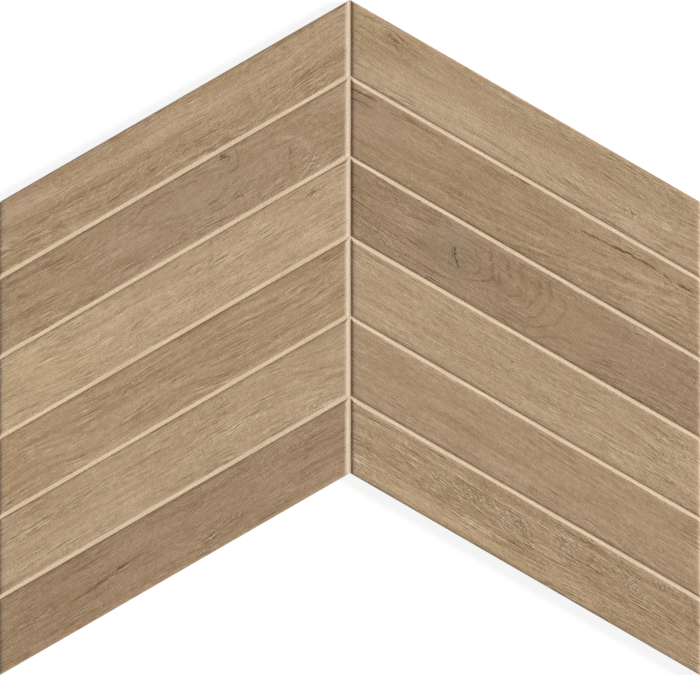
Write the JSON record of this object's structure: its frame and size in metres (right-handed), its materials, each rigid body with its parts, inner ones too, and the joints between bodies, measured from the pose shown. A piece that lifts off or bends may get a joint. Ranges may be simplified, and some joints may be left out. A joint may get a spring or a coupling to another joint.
{
  "type": "chevron wall tile",
  "caption": "Chevron-shaped porcelain wall tile whose oak-look face is moulded as slanted strips with narrow joints, with keying channels across its back.",
  "frame": {"origin": "on the back face, under the middle of the outline's box", "axes": "+Z out of the decorated face, +Y towards the apex, +X to the right as seen on the face"},
  "size_m": [0.4, 0.3856, 0.0095],
  "materials": {
    "oak_glaze": "matt printed oak glaze with beige joints"
  },
  "bodies": {
    "root": {"chevron_tile": "oak_glaze"}
  },
  "joints": []
}
